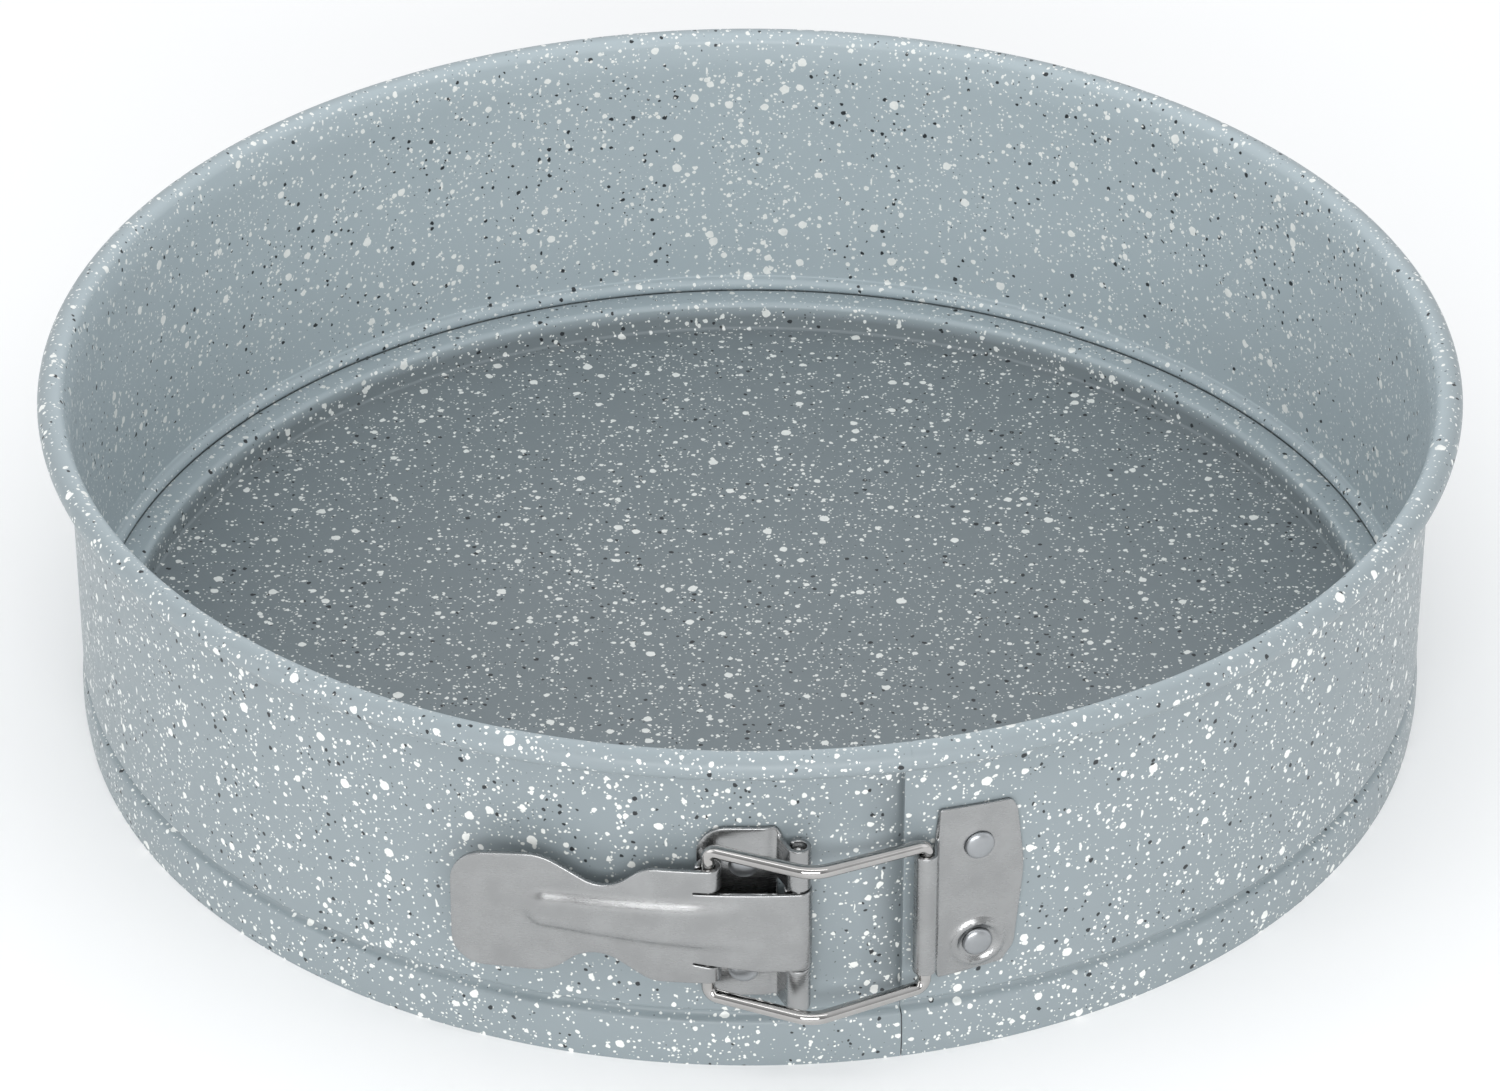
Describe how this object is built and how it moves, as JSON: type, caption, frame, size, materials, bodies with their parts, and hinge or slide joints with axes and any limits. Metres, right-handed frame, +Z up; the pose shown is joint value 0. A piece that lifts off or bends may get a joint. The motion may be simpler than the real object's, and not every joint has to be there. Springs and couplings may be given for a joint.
{
  "type": "springform pan",
  "caption": "Round cake pan: a flanged base disc dropped into a springy ring that a swinging lever and bent wire bail pull closed over centre.",
  "frame": {"origin": "centre of the base floor's underside, on the pan's axis; the ring's lower edge, which the pan stands on, is 2.9 mm lower", "axes": "+Z up along the pan's axis; -Y toward the clasp; +X to the right of someone facing the clasp"},
  "size_m": [0.272, 0.2786, 0.07],
  "materials": {
    "granite_coating": "blue-grey non-stick with white and black speckles",
    "satin_steel": "satin stamped sheet",
    "polished_wire": "polished",
    "rivet_steel": "smooth domed head",
    "pin_steel": "plain turned pin"
  },
  "bodies": {
    "base": {"base_disc": "granite_coating"},
    "ring_back": {"ring_back": "granite_coating"},
    "ring_left": {"ring_left": "granite_coating", "lever_bracket": "satin_steel", "hinge_pin": "pin_steel", "bracket_rivet_upper": "rivet_steel", "bracket_rivet_lower": "rivet_steel"},
    "ring_right": {"ring_right": "granite_coating", "catch_plate": "satin_steel", "catch_rivet_upper": "rivet_steel", "catch_rivet_lower": "rivet_steel"},
    "lever": {"lever": "satin_steel"},
    "bail": {"bail": "polished_wire"}
  },
  "joints": [
    {"name": "ring_lift", "type": "slide", "parent": "base", "child": "ring_back", "axis": [0, 0, 1], "range_m": [0, 0.09]},
    {"name": "ring_open_left", "type": "hinge", "parent": "ring_back", "child": "ring_left", "pos_m": [-0.08185, 0.10861, 0.032], "axis": [0, 0, -1], "range_deg": [0, 1.12]},
    {"name": "ring_open_right", "type": "hinge", "parent": "ring_back", "child": "ring_right", "pos_m": [0.03059, 0.13251, 0.032], "axis": [0, 0, 1], "range_deg": [0, 1.12]},
    {"name": "lever_swing", "type": "hinge", "parent": "ring_left", "child": "lever", "pos_m": [0.0085, -0.13393, 0.0306], "axis": [0, 0, 1], "range_deg": [0, 90]},
    {"name": "bail_swing", "type": "hinge", "parent": "lever", "child": "bail", "pos_m": [-0.0074, -0.13415, 0.0307], "axis": [0, 0, -1], "range_deg": [0, 61.21]}
  ],
  "couplings": [
    {"joint": "ring_open_left", "follows": "lever_swing", "ratio": 0.012488},
    {"joint": "ring_open_right", "follows": "lever_swing", "ratio": 0.012488},
    {"joint": "bail_swing", "follows": "lever_swing", "ratio": 0.68008}
  ]
}
